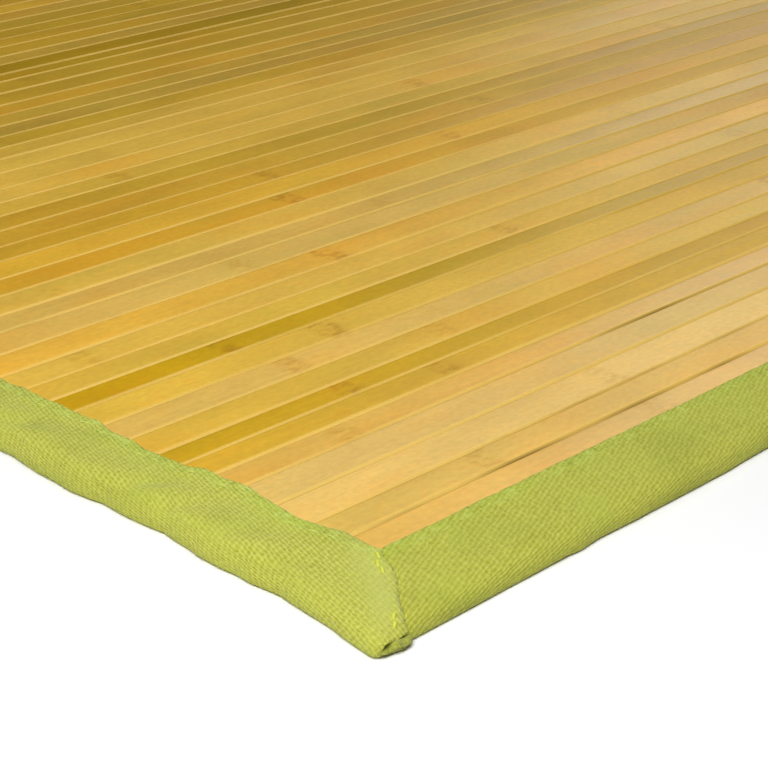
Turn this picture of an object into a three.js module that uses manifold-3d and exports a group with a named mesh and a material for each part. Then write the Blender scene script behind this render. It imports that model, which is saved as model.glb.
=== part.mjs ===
// A rug of flat bamboo slats, bound all round in a wide strip of coarse cotton twill with mitred corners.
// Millimetres, +Z up. The slats run along X and lie side by side along Y, and the rug lies flat on Z = 0
// with the origin under its centre. The near left corner is the one at -X, -Y.
import * as THREE from "three";
import { mergeVertices } from "three/addons/utils/BufferGeometryUtils.js";
import Module from "manifold-3d";

// Driving dimensions
const WIDTH = 1220; // along the slats, at the middle of the long sides
const LENGTH = 1830; // across the slats
const SIDE_FLAP = 36; // the binding that shows along the long sides
const END_FLAP = 43.6; // the binding that shows along the short sides
const SLAT_TOP = 6; // height of the slats' faces above the floor
const CLOTH = 1.2; // thickness of the twill
const GAP = 0.3; // between pieces that touch

// Places worked out from them
const INNER_X = WIDTH / 2 - SIDE_FLAP;
const INNER_Y = LENGTH / 2 - END_FLAP;

// Slats
const GROOVE_FLOOR = 2.5; // height of the thin web that joins two slats
const LIT_EDGE = 1.8; // width of the eased edge on the near side of a slat
const LIT_DROP = 1.3;
const BACK_EDGE = 0.5; // width of the crisp edge on its far side
const SLAT_SINK = 0.25; // how much lower than its neighbours a slat may lie
const SINK_TURN = 2.1; // from slat to slat, so that no two neighbours lie alike
const JOINT_DRIFT = 0.8; // how far a joint wanders on its way across the rug
const DRIFT_PARTS = 4; // straight runs in which it does so
const DRIFT_SWING = 2.2;
const DRIFT_TURN = 1.7; // from joint to joint
const EDGE_PLAY = 2.4; // between the slats' ends and the fold of the cloth
const UNDER_PLAY = 2; // from the inner edge of the binding to the rebate's edge
const LEAST_SLAT = 12;

// Widths of the slats in order from the near end. Strips of bamboo are matched by eye, so their widths
// wander about 17 mm. After the last row the chart starts again.
const SLAT_CHART = [
  { stretch: "under the near binding", widths: [18, 17] },
  { stretch: "pale slats by the near corner", widths: [17, 17, 19, 18.5, 16] },
  { stretch: "first amber pair", widths: [14.5, 12.5, 17.5, 18, 17] },
  { stretch: "around the dark olive slat", widths: [14, 16.5, 17.5, 18, 18.5] },
  { stretch: "even honey slats", widths: [17.5, 18, 16.5, 19, 16.5, 17] },
  { stretch: "olive slats", widths: [16.5, 17, 18, 20, 19, 16.5] },
  { stretch: "towards the middle", widths: [16, 15.5, 17, 16.5, 19, 19.5] },
  { stretch: "past the middle", widths: [15, 17.5, 13.5, 18.5, 16.5, 16.5, 18.5] },
];

// Binding
const UNDERSIDE = SLAT_TOP + GAP; // of the top flap
const HEM = 10; // width of the turned-in hem along the inner edge
const HEM_RISE = 0.6; // the hem's extra thickness
const HEM_SLOPE = 2;
const UNDER_FLAP = 34; // width of the flap under the slats
const FOLD_TOP = 3; // how far the outer fold rounds over at its top
const FOLD_SIDE = 4; // height at which its side is upright
const FOLD_FOOT = 1.4; // how far it rounds under at the floor
const INNER_ROUND = 1.8;
const CREST = 0.62; // where a pucker is highest, as a share of the flap's width
const SHOULDER = 0.7; // the share of its height that it still has beside the hem
const FLARE_REACH = 45; // how fast the flare of a corner dies out along the side
const EDGE_SWAY = 1.4; // how far the inner edge wanders
const EDGE_PITCH = 52;
const FADE = 40; // puckers and sway die out this far from a corner

// The sections by a corner turn from the mitre to straight across: distance from the corner, share of turn
const MITRE_SECTIONS = [
  { from: 0, skew: 1 },
  { from: 5, skew: 0.5 },
  { from: 14, skew: 0 },
];

// How far each corner of the cloth pokes out past the long side
const FLARE = { nearLeft: 11.6, nearRight: 9, farLeft: 9.5, farRight: 11.6 };

// One row for each strip: how it is turned about Z, the corners at its two ends, its flap's width and how
// it puckers. A pucker has a trough every pitch, the first one at trough from the strip's start.
const STRIPS = [
  {
    name: "binding_left", turn: 90, at: [-INNER_X, 0], half: INNER_Y, flap: SIDE_FLAP, flares: true,
    corners: ["nearLeft", "farLeft"], step: 26, pucker: { height: 1.2, pitch: 78, trough: 4.5 }, sway: 1,
  },
  {
    name: "binding_right", turn: -90, at: [INNER_X, 0], half: INNER_Y, flap: SIDE_FLAP, flares: true,
    corners: ["farRight", "nearRight"], step: 26, pucker: { height: 1, pitch: 78, trough: 30 }, sway: 1,
  },
  {
    name: "binding_near", turn: 180, at: [0, -INNER_Y], half: INNER_X, flap: END_FLAP, flares: false,
    corners: ["nearRight", "nearLeft"], step: 52, pucker: { height: 0.3, pitch: 156, trough: 40 }, sway: 0.2,
  },
  {
    name: "binding_far", turn: 0, at: [0, INNER_Y], half: INNER_X, flap: END_FLAP, flares: false,
    corners: ["farLeft", "farRight"], step: 52, pucker: { height: 0.4, pitch: 156, trough: 70 }, sway: 0.3,
  },
];

const manifold = await Module();
manifold.setup();

const bamboo = new THREE.MeshStandardMaterial({ name: "bamboo", color: 0xd7b057, roughness: 0.38 });
const twill = new THREE.MeshStandardMaterial({ name: "twill", color: 0xbcc455, roughness: 0.92 });

// A closed solid through rings of points that all hold the same number of points, capped at both ends.
// flat is the first ring drawn in its own plane.
function loft(rings, flat) {
  const count = flat.length;
  const last = (rings.length - 1) * count;
  const faces = [];
  for (let r = 0; r + 1 < rings.length; r++) {
    for (let i = 0; i < count; i++) {
      const a = r * count + i;
      const b = r * count + ((i + 1) % count);
      faces.push([a, b, b + count], [a, b + count, a + count]);
    }
  }
  const turned = THREE.ShapeUtils.isClockWise(flat);
  for (const face of THREE.ShapeUtils.triangulateShape(flat, [])) {
    const [a, b, c] = turned ? face.toReversed() : face;
    faces.push([c, b, a], [last + a, last + b, last + c]);
  }
  const geometry = new THREE.BufferGeometry().setFromPoints(rings.flat());
  const points = rings.flat();
  const volume = faces.reduce((sum, [a, b, c]) => {
    return sum + points[a].dot(new THREE.Vector3().crossVectors(points[b], points[c]));
  }, 0);
  geometry.setIndex((volume < 0 ? faces.map((face) => face.reverse()) : faces).flat());
  geometry.computeVertexNormals();
  return geometry;
}

// Joints between the slats, as distances along Y, with the two ends of the mat
function slatJoints(end) {
  const widths = SLAT_CHART.flatMap((row) => row.widths);
  const joints = [-end];
  for (let i = 0; joints.at(-1) + widths[i % widths.length] < end - LEAST_SLAT; i++) {
    joints.push(joints.at(-1) + widths[i % widths.length]);
  }
  joints.push(end);
  return joints;
}

// A closed mesh as a solid that can be cut, and back
function solidOf(geometry) {
  const bare = geometry.clone();
  bare.deleteAttribute("normal");
  bare.deleteAttribute("uv");
  const merged = mergeVertices(bare);
  return new manifold.Manifold(
    new manifold.Mesh({
      numProp: 3,
      vertProperties: new Float32Array(merged.attributes.position.array),
      triVerts: new Uint32Array(merged.index.array),
    }),
  );
}

function geometryOf(solid) {
  const { vertProperties, triVerts } = solid.getMesh();
  const geometry = new THREE.BufferGeometry();
  geometry.setAttribute("position", new THREE.BufferAttribute(vertProperties, 3));
  geometry.setIndex(new THREE.BufferAttribute(triVerts, 1));
  geometry.computeVertexNormals();
  return geometry;
}

function rectangle(Shape, x, y) {
  return new Shape([
    new THREE.Vector2(-x, -y), new THREE.Vector2(x, -y), new THREE.Vector2(x, y), new THREE.Vector2(-x, y),
  ]);
}

// The mat of slats: one solid, its slats raised and a groove along each joint. A rebate along all four
// sides of its underside leaves room for the binding's under flap.
function slatField() {
  const endX = INNER_X + SIDE_FLAP - CLOTH - EDGE_PLAY;
  const endY = INNER_Y + END_FLAP - CLOTH - EDGE_PLAY;
  const joints = slatJoints(endY);
  const ring = (share) => {
    const drift = (i) => JOINT_DRIFT * Math.sin(DRIFT_SWING * share + DRIFT_TURN * i);
    const points = [[-endY, 0]];
    for (let i = 0; i + 1 < joints.length; i++) {
      const top = SLAT_TOP - SLAT_SINK * (0.5 + 0.5 * Math.sin(SINK_TURN * i));
      const near = joints[i] + (i === 0 ? 0 : drift(i));
      const far = joints[i + 1] + (i + 2 === joints.length ? 0 : drift(i + 1));
      if (i > 0) points.push([near, GROOVE_FLOOR]);
      points.push([near + (i > 0 ? GAP : 0), top - LIT_DROP]);
      points.push([near + LIT_EDGE, top]);
      points.push([far - BACK_EDGE, top]);
    }
    points.push([endY, SLAT_TOP - LIT_DROP], [endY, 0]);
    return points;
  };
  const shares = Array.from({ length: DRIFT_PARTS + 1 }, (_, i) => (2 * i) / DRIFT_PARTS - 1);
  const rings = shares.map((k) => ring(k).map(([y, z]) => new THREE.Vector3(k * endX, y, z)));
  const flat = ring(shares[0]).map(([y, z]) => new THREE.Vector2(y, z));

  const rebate = rectangle(THREE.Shape, endX + SIDE_FLAP, endY + END_FLAP);
  rebate.holes.push(rectangle(THREE.Path, INNER_X - UNDER_PLAY, INNER_Y - UNDER_PLAY));
  const below = new THREE.ExtrudeGeometry(rebate, { depth: 2 * (CLOTH + GAP), bevelEnabled: false });
  below.translate(0, 0, -(CLOTH + GAP));
  return geometryOf(solidOf(loft(rings, flat)).subtract(solidOf(below)));
}

// The C-shaped section of a strip: distance out from the inner edge, and height
function bindingSection(wide, edge, rise) {
  const over = UNDERSIDE + CLOTH;
  return [
    [edge, over + HEM_RISE],
    [edge + HEM, over + HEM_RISE],
    [edge + HEM + HEM_SLOPE, over + SHOULDER * rise],
    [CREST * wide, over + rise],
    [wide - FOLD_TOP, over],
    [wide, FOLD_SIDE],
    [wide - FOLD_FOOT, 0],
    [wide - UNDER_FLAP, 0],
    [wide - UNDER_FLAP, CLOTH],
    [wide - CLOTH, CLOTH],
    [wide - CLOTH, FOLD_SIDE],
    [wide - CLOTH - INNER_ROUND, UNDERSIDE],
    [CREST * wide, UNDERSIDE + rise],
    [edge, UNDERSIDE],
  ];
}

// One strip of binding in its own frame: X along it, Y out from its inner edge
function bindingStrip({ half, flap, flares, corners, step, pucker, sway }) {
  const flare = corners.map((corner) => FLARE[corner]);
  const reach = flare.map((f) => (flares ? END_FLAP : SIDE_FLAP + f));
  const between = Math.round((2 * half) / step) - 1;
  const stations = MITRE_SECTIONS.map(({ from, skew }) => ({ along: from - half, skew, end: 0 }));
  for (let i = 1; i <= between; i++) {
    stations.push({ along: -half + (i * 2 * half) / (between + 1), skew: 0, end: 0 });
  }
  for (const { from, skew } of MITRE_SECTIONS.toReversed()) {
    stations.push({ along: half - from, skew, end: 1 });
  }

  const drawn = stations.map(({ along, skew, end }) => {
    const side = end === 0 ? -1 : 1;
    const fromCorner = half - Math.abs(along);
    const calm = Math.min(1, fromCorner / FADE);
    const start = along + half;
    const turn = (2 * Math.PI * (start - pucker.trough)) / pucker.pitch;
    const rise = calm * pucker.height * (0.5 - 0.5 * Math.cos(turn));
    const edge = calm * sway * EDGE_SWAY * Math.cos((2 * Math.PI * start) / EDGE_PITCH);
      const fromTip = [start, 2 * half - start].map((s, k) => s + reach[k] * (end === k ? 1 - skew : 1));
    const spread = fromTip.map((s, k) => flare[k] * Math.exp(-s / FLARE_REACH));
    const wide = flap + (flares ? Math.max(...spread) : 0);
    const pull = skew === 1 ? -side * GAP * Math.SQRT1_2 : 0;
    const section = bindingSection(wide, edge, rise);
    const ring = section.map(([u, z]) => {
      return new THREE.Vector3(along + pull + (side * skew * reach[end] * u) / wide, u, z);
    });
    return { section, ring };
  });
  const flat = drawn[0].section.map(([u, z]) => new THREE.Vector2(u, z));
  return loft(drawn.map(({ ring }) => ring), flat);
}

const rug = new THREE.Group();

const field = new THREE.Mesh(slatField(), bamboo);
field.name = "slat_field";
rug.add(field);

for (const strip of STRIPS) {
  const mesh = new THREE.Mesh(bindingStrip(strip), twill);
  mesh.name = strip.name;
  mesh.position.set(...strip.at, 0);
  mesh.rotation.z = THREE.MathUtils.degToRad(strip.turn);
  rug.add(mesh);
}

export default rug;
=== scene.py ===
"""A floor rug of bamboo slats with a wide binding of coarse lime green twill, seen close by one corner.

Lengths are written in millimetres and turned into metres as each mesh is made. X runs along the slats,
Y across them, and the corner by the camera is the one at -X, -Y.
"""

import math

import bmesh
import bpy
import numpy as np
from mathutils import Matrix, Vector


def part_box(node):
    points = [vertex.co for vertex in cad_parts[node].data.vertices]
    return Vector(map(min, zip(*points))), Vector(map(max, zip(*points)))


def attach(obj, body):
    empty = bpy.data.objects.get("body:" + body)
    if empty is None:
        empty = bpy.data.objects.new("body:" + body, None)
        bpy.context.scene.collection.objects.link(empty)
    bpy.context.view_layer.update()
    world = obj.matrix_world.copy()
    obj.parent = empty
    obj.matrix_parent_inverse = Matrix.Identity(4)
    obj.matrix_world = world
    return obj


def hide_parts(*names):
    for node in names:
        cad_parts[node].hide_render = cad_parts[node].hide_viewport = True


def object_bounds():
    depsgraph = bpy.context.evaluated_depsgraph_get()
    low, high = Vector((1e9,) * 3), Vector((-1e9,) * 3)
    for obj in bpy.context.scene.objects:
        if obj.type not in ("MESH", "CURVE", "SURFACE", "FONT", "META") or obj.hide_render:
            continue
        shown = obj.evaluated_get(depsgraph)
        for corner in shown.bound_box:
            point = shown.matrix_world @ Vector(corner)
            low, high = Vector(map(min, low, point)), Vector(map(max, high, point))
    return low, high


MM = 0.001
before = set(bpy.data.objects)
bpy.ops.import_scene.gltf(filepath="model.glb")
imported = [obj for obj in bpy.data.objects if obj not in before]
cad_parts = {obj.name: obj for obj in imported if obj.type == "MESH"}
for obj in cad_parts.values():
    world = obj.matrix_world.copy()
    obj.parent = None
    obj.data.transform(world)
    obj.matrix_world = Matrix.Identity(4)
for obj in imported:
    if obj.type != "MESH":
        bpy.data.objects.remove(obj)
cad_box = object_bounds()

# Sizes shared with the solids
SIDE_FLAP = 36.0
END_FLAP = 43.6
SLAT_TOP = 6.0
GROOVE_FLOOR = 2.5
CLOTH = 1.2
GAP = 0.3
END_PLAY = 2.4
UNDER_FLAP = 34.0
UNDER_PLAY = 2.0
FLARE = {"near_left": 11.6, "near_right": 9.0, "far_left": 9.5, "far_right": 11.6}
FLARE_REACH = 45.0

# Places worked out from the frame
FIELD_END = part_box("slat_field")[1] / MM
INNER_X = FIELD_END.x + CLOTH + END_PLAY - SIDE_FLAP
INNER_Y = cad_box[1][1] / MM - END_FLAP
CORNER = Vector((-INNER_X, -INNER_Y, SLAT_TOP))


# Colours, as seen on the screen from 0 to 255
def linear(red, green, blue):
    def one(c):
        c /= 255
        return c / 12.92 if c <= 0.04045 else ((c + 0.055) / 1.055) ** 2.4

    return (one(red), one(green), one(blue), 1.0)


TONES = {
    "peach": (224, 178, 84),
    "pale": (230, 190, 102),
    "straw": (226, 184, 86),
    "tan": (219, 175, 80),
    "honey": (221, 178, 60),
    "sand": (231, 187, 72),
    "apricot": (244, 189, 67),
    "orange": (230, 178, 49),
    "amber": (219, 171, 40),
    "ochre": (209, 161, 37),
    "gold": (207, 163, 10),
    "bronze": (193, 152, 6),
    "olive": (201, 160, 34),
    "moss": (211, 168, 44),
    "sage": (199, 160, 50),
    "dark": (198, 157, 1),
    "umber": (182, 144, 0),
}

# The tone of each slat, near end first. Slats beyond the chart take its rows again by chance.
TONE_CHART = [
    "honey tan",
    "peach straw pale pale tan",
    "amber gold honey straw honey",
    "dark honey sand apricot straw",
    "straw sand amber orange ochre moss",
    "moss honey sand sand sand honey",
    "moss sage sage ochre olive olive",
    "bronze umber sage olive olive olive moss",
    "sage moss ochre",
]
TONE_SEED = 8


def slat_tones(count):
    draw = np.random.default_rng(TONE_SEED)
    names = " ".join(TONE_CHART).split()
    while len(names) < count:
        row = TONE_CHART[draw.integers(len(TONE_CHART))].split()
        names += row[::-1] if draw.random() < 0.5 else row
    return np.array([linear(*TONES[name]) for name in names[:count]])


# Meshes
WAVE_COUNT = 7  # sine waves in one soft uneven relief


def mesh_object(name, points_mm, faces, material):
    mesh = bpy.data.meshes.new(name)
    mesh.from_pydata((np.asarray(points_mm) * MM).tolist(), [], faces)
    mesh.polygons.foreach_set("use_smooth", np.ones(len(mesh.polygons), bool))
    mesh.materials.append(material)
    mesh.update()
    piece = bpy.data.objects.new(name, mesh)
    bpy.context.scene.collection.objects.link(piece)
    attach(piece, "root")
    return piece


def ring_quads(rings, count):
    """The side faces between rings of count points each, for points stored ring after ring."""
    r = np.arange(rings - 1)[:, None] * count
    i = np.arange(count)[None, :]
    j = (i + 1) % count
    quads = np.stack([r + i, r + j, r + j + count, r + i + count], -1)
    return quads.reshape(-1, 4)


def tube_faces(rings, count):
    """The side faces and the two end faces of a tube of rings."""
    first = list(range(count))
    last = [(rings - 1) * count + k for k in first]
    return ring_quads(rings, count).tolist() + [first[::-1], last]


def recalculate(piece):
    """Turns a closed piece's faces outwards."""
    work = bmesh.new()
    work.from_mesh(piece.data)
    bmesh.ops.recalc_face_normals(work, faces=work.faces)
    work.to_mesh(piece.data)
    work.free()


def store(piece, name, kind, values):
    """Keeps one value for each point of a piece, for its material to read."""
    attribute = piece.data.attributes.new(name, kind, "POINT")
    field = {"FLOAT": "value", "FLOAT_VECTOR": "vector", "FLOAT_COLOR": "color"}[kind]
    attribute.data.foreach_set(field, np.asarray(values, np.float32).ravel())


# Soft forms
def waves(a, b, size, seed):
    """Soft uneven relief from -1 to 1 over two coordinates, with hills about size apart."""
    draw = np.random.default_rng(seed)
    total = np.zeros(np.broadcast(a, b).shape)
    for _ in range(WAVE_COUNT):
        turn, phase = draw.uniform(0, 2 * np.pi, 2)
        step = 2 * np.pi / (size * draw.uniform(0.7, 1.5))
        total = total + np.sin(step * (a * np.cos(turn) + b * np.sin(turn)) + phase)
    return total / np.sqrt(2 * WAVE_COUNT)


def hump(distance, reach):
    """A soft hill: 1 at its middle, and 0.37 at its reach."""
    return np.exp(-((distance / reach) ** 2))


def step_down(distance, softness):
    """A soft step from 1 to 0 as the distance goes from below zero to above."""
    return 1 / (1 + np.exp(distance / softness))


# Node graphs
class Graph:
    """A material's nodes, with a short call for each kind used here. Inputs are numbers or sockets."""

    def __init__(self, name):
        self.material = bpy.data.materials.new(name)
        self.material.use_nodes = True
        self.nodes = self.material.node_tree.nodes
        self.links = self.material.node_tree.links
        self.shader = self.nodes["Principled BSDF"]

    def put(self, socket, value):
        if isinstance(value, bpy.types.NodeSocket):
            self.links.new(value, socket)
        else:
            socket.default_value = value

    def add(self, kind, inputs, **settings):
        node = self.nodes.new(kind)
        for key, value in settings.items():
            setattr(node, key, value)
        for key, value in inputs.items():
            self.put(node.inputs[key], value)
        return node

    def math(self, operation, *values):
        inputs = dict(enumerate(values))
        return self.add("ShaderNodeMath", inputs, operation=operation).outputs[0]

    def range(self, value, low, high, out_low=0.0, out_high=1.0, smooth=True):
        inputs = {"Value": value, "From Min": low, "From Max": high, "To Min": out_low, "To Max": out_high}
        kind = "SMOOTHSTEP" if smooth else "LINEAR"
        return self.add("ShaderNodeMapRange", inputs, interpolation_type=kind).outputs[0]

    def mix(self, factor, a, b, blend="MIX"):
        node = self.add("ShaderNodeMix", {}, data_type="RGBA", blend_type=blend)
        for key, value in ((0, factor), (6, a), (7, b)):
            self.put(node.inputs[key], value)
        return node.outputs[2]

    def attribute(self, name, output="Fac"):
        return self.add("ShaderNodeAttribute", {}, attribute_name=name).outputs[output]

    def split(self, vector):
        return self.add("ShaderNodeSeparateXYZ", {"Vector": vector}).outputs

    def join(self, x, y, z):
        return self.add("ShaderNodeCombineXYZ", {"X": x, "Y": y, "Z": z}).outputs[0]

    def noise(self, vector, scale, detail=2.0, rough=0.5):
        inputs = {"Vector": vector, "Scale": scale, "Detail": detail, "Roughness": rough}
        return self.add("ShaderNodeTexNoise", inputs).outputs["Fac"]

    def tint(self, colour, by):
        return self.mix(1.0, colour, by, "MULTIPLY")

    def bump(self, height, distance, strength):
        inputs = {"Height": height, "Distance": distance, "Strength": strength}
        self.links.new(self.add("ShaderNodeBump", inputs).outputs[0], self.shader.inputs["Normal"])

    def surface(self, values):
        """Sets inputs of the shader itself."""
        for key, value in values.items():
            self.put(self.shader.inputs[key], value)


# Bamboo. For each noise: its grains in a metre along the slat and across it, detail and roughness
GRAIN = {
    "fibre": (9.0, 520.0, 3.0, 0.6),
    "fleck": (260.0, 420.0, 3.0, 0.6),
    "drift": (13.0, 26.0, 2.0, 0.5),
    "hue": (8.0, 18.0, 2.0, 0.5),
    "mottle": (95.0, 150.0, 2.0, 0.6),
    "wobble": (90.0, 140.0, 3.0, 0.5),
    "smudge": (150.0, 330.0, 3.0, 0.6),
}
HUE_START = 9.0
RUDDY = (1.07, 0.92, 0.66, 1.0)
GREENISH = (0.94, 1.0, 0.96, 1.0)
RING_TINT = (0.92, 0.84, 0.5, 1.0)
SMUDGE_TINT = (0.7, 0.58, 0.3, 1.0)
RING_WOBBLE = 0.003
RING_CORE = 0.002
RING_EDGE = 0.009
# Pale raw bamboo on each slat's near edge, made paler still as a painted highlight
RAW_EDGE_HIGHLIGHT = linear(243, 204, 102)
RAW_HIGHLIGHT_SHARE = 0.84
# Painted shade in the grooves between the slats
GROOVE_SHADE = linear(112, 82, 20)
GRAIN_RISE = 0.00012


def bamboo_material():
    """Split bamboo under satin varnish: fibres along the slat, a ring at each node, a pale raw near edge with
    a painted highlight, and painted shade in the grooves.
    """
    g = Graph("bamboo_varnished")
    x, across, seed = g.split(g.attribute("slat_place", "Vector"))
    tone = g.attribute("slat_tone", "Color")
    ring_at, ring_pitch, ring_force = g.split(g.attribute("slat_rings", "Vector"))

    def grain(name, start=seed):
        along, over, detail, rough = GRAIN[name]
        place = g.join(g.math("MULTIPLY", x, along), g.math("MULTIPLY", across, over), start)
        return g.noise(place, 1.0, detail, rough)

    # Fine light and dark, then slow turns to red and green
    fibre, fleck = grain("fibre"), grain("fleck")
    shade = g.range(fibre, 0.25, 0.75, 0.95, 1.04, False)
    shade = g.math("MULTIPLY", shade, g.range(fleck, 0.3, 0.7, 0.93, 1.06, False))
    shade = g.math("MULTIPLY", shade, g.range(grain("drift"), 0.3, 0.7, 0.9, 1.08, False))
    colour = g.tint(tone, g.join(shade, shade, shade))
    ruddy, greenish = g.tint(colour, RUDDY), g.tint(colour, GREENISH)
    hue = grain("hue", g.math("ADD", seed, HUE_START))
    mottle = grain("mottle")
    colour = g.mix(g.range(hue, 0.5, 0.72, 0.0, 0.75), colour, ruddy)
    colour = g.mix(g.range(hue, 0.5, 0.28, 0.0, 0.85), colour, greenish)
    colour = g.mix(g.range(mottle, 0.5, 0.75, 0.0, 0.36), colour, ruddy)
    colour = g.mix(g.range(mottle, 0.5, 0.28, 0.0, 0.36), colour, greenish)

    # The rings of the nodes, from the distance to the nearest one along the slat
    wobble = g.range(grain("wobble"), 0.2, 0.8, -RING_WOBBLE, RING_WOBBLE, False)
    off = g.math("ADD", g.math("SUBTRACT", x, ring_at), wobble)
    off = g.math("WRAP", off, g.math("MULTIPLY", ring_pitch, 0.5), g.math("MULTIPLY", ring_pitch, -0.5))
    band = g.range(g.math("ABSOLUTE", off), RING_CORE, RING_EDGE, 1.0, 0.0)
    band = g.math("MULTIPLY", band, ring_force)
    smudge = g.math("MULTIPLY", g.range(grain("smudge"), 0.42, 0.62), band)
    colour = g.mix(g.math("MULTIPLY", band, 0.3), colour, g.tint(colour, RING_TINT))
    colour = g.mix(g.math("MULTIPLY", smudge, 0.85), colour, g.tint(colour, SMUDGE_TINT))

    # Pale raw near edge with a painted highlight over it
    colour = g.mix(g.math("MULTIPLY", g.attribute("slat_raw_highlight"), RAW_HIGHLIGHT_SHARE), colour, RAW_EDGE_HIGHLIGHT)
    # Painted shade down the joints' sides and in open joints
    colour = g.mix(g.attribute("slat_groove_shade"), colour, GROOVE_SHADE)
    rough = g.math("ADD", g.attribute("slat_matt"), g.range(fibre, 0.2, 0.8, -0.05, 0.05, False))
    g.surface({"Base Color": colour, "Roughness": rough, "Specular IOR Level": 0.3})
    height = g.math("ADD", g.math("MULTIPLY", fibre, 0.6), g.math("MULTIPLY", fleck, 0.4))
    g.bump(g.math("ADD", height, g.math("MULTIPLY", band, 0.8)), GRAIN_RISE, 0.6)
    return g.material


# Twill. For each noise: a start, which keeps it apart from the others, scale, detail and roughness
CLOTH_GRAIN = {
    "jog": (0.0, 210.0, 2.0, 0.5),
    "fuzz": (3.0, 900.0, 3.0, 0.7),
    "uneven": (5.0, 330.0, 2.0, 0.6),
    "blotch": (7.0, 38.0, 3.0, 0.5),
    "patch": (13.0, 26.0, 2.0, 0.5),
    "fleck": (9.0, 170.0, 2.0, 0.5),
    "hole": (11.0, 300.0, 2.0, 0.5),
}
RIB = (0.46, 0.19)  # turns of the weave's ridges in a millimetre out and along, and of the breaks in them
BREAK = (0.085, 0.375)
SIDE_SHRINK = 1.2  # how much finer the weave is across the long strips
VALLEY = linear(169, 170, 49)
RIDGE = linear(206, 208, 91)
BLOTCH = linear(186, 199, 76)
PATCH_TINT = (0.86, 0.88, 0.8, 1.0)
HEM_TINT = (0.92, 1.02, 0.84, 1.0)
HEM_FLECK = linear(205, 222, 108)
HEM_HOLE = linear(128, 138, 36)
WORN = linear(202, 205, 112)
WEAVE_RISE = 0.00026
SIDE_DYE = (0.99, 0.99, 0.97, 1.0)
# Darker copy of the cloth for the end strips, as painted shade
END_SHADE_TINT = (0.93, 0.93, 0.84, 1.0)
# A much darker copy for the tuck under each corner, as painted shade
TUCK_SHADE_TINT = (0.74, 0.76, 0.62, 1.0)


def twill_material(name, dye_and_shade, broken):
    """Coarse cotton twill: ridges at a slant to the strip, each more or less broken into short floats."""
    g = Graph(name)
    along, out, hem = g.split(g.attribute("cloth_place", "Vector"))
    worn = g.attribute("cloth_worn")

    def noise(kind):
        start, scale, detail, rough = CLOTH_GRAIN[kind]
        return g.noise(g.join(along, out, start), scale, detail, rough)

    jog = g.range(noise("jog"), 0.25, 0.75, -0.3, 0.3, False)

    def turns(pair):
        a = g.math("MULTIPLY", out, pair[0] / MM)
        b = g.math("MULTIPLY", along, -pair[1] / MM)
        place = g.math("ADD", g.math("ADD", a, b), jog)
        return g.math("COSINE", g.math("MULTIPLY", place, 2 * math.pi))

    ridge = g.math("MULTIPLY", g.range(turns(RIB), -1.0, 1.0), g.range(worn, 0.0, 1.0, 1.0, 0.35, False))
    height = g.math("ADD", ridge, g.math("MULTIPLY", g.range(turns(BREAK), -1.0, 1.0), broken))
    height = g.math("ADD", height, g.range(noise("uneven"), 0.3, 0.7, -0.45, 0.45, False))
    height = g.math("ADD", height, g.range(noise("fuzz"), 0.3, 0.7, -0.45, 0.45, False))

    colour = g.mix(g.range(height, -0.3, 1.7, 0.0, 1.0, False), VALLEY, RIDGE)
    blotch = noise("blotch")
    colour = g.mix(g.range(blotch, 0.4, 0.75, 0.0, 0.35), colour, BLOTCH)
    colour = g.mix(g.range(noise("patch"), 0.46, 0.7, 0.0, 0.8), colour, g.tint(colour, PATCH_TINT))
    green = g.math("MULTIPLY", g.range(hem, 0.0, 1.0), g.range(blotch, 0.3, 0.6, 0.35, 0.8))
    colour = g.mix(green, colour, g.tint(colour, HEM_TINT))
    fleck = g.math("MULTIPLY", hem, g.range(noise("fleck"), 0.5, 0.68, 0.0, 0.55))
    colour = g.mix(fleck, colour, HEM_FLECK)
    hole = g.math("MULTIPLY", hem, g.range(noise("hole"), 0.58, 0.7, 0.0, 0.5))
    colour = g.mix(hole, colour, HEM_HOLE)
    colour = g.mix(g.math("MULTIPLY", worn, 0.5), colour, WORN)
    # The tint is slight on the side strips, and painted shade on the end strips and the tucks
    colour = g.tint(colour, dye_and_shade)
    g.surface({"Base Color": colour, "Roughness": 0.85, "Specular IOR Level": 0.25, "Sheen Weight": 0.12})
    g.bump(height, WEAVE_RISE, 0.75)
    return g.material


def thread_material(name, dark, light):
    """Shiny sewing thread."""
    g = Graph(name)
    twist = g.noise(g.add("ShaderNodeTexCoord", {}).outputs["Object"], 2600.0)
    g.surface({"Base Color": g.mix(twist, dark, light), "Roughness": 0.6})
    g.bump(twist, 0.0001, 0.5)
    return g.material


# Slats. Each one's near edge is cut back and lit, and its far edge is rounded less.
LIT_EDGE = 1.35
LIT_DROP = 0.95
BACK_EDGE = 0.45
BACK_DROP = 0.16
CROWN = 0.08
SHOULDER = 1.0
SUNK = 0.12  # how far all the tops lie under the solid's, and then up to SINK more
SINK = 0.25
TILT = 0.1
WARP = 0.07
JOINT_WANDER = 0.22
HAIRLINE = 0.35
NARROWEST = 0.12
SLAT_STEP = 12.0
FAR_STEP = 32.0
FINE_REACH = 480.0
SHORT_X = 2.5
SHORT_Y = 5.0
REBATE_SLOPE = 1.0
SHARP_ANGLE = math.radians(20)
SLAT_SEED = 4

# Slow changes along the slats: how far apart two slats read the waves, the hills' size, and the seed
SLOW = {
    "joint": (40.0, 170.0, 11),
    "open": (55.0, 120.0, 12),
    "warp": (60.0, 260.0, 13),
    "dark": (70.0, 150.0, 14),
    "raw_highlight": (90.0, 110.0, 15),
}

# Ranges that each slat's own values are drawn from. The rings' are in metres, and repeat at their pitch.
RING_PITCH = (0.34, 0.62)
RING_AT = (0, 0.5)
RING_FORCE = (0.0, 0.6)
MATT = (0.34, 0.5)
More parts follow.
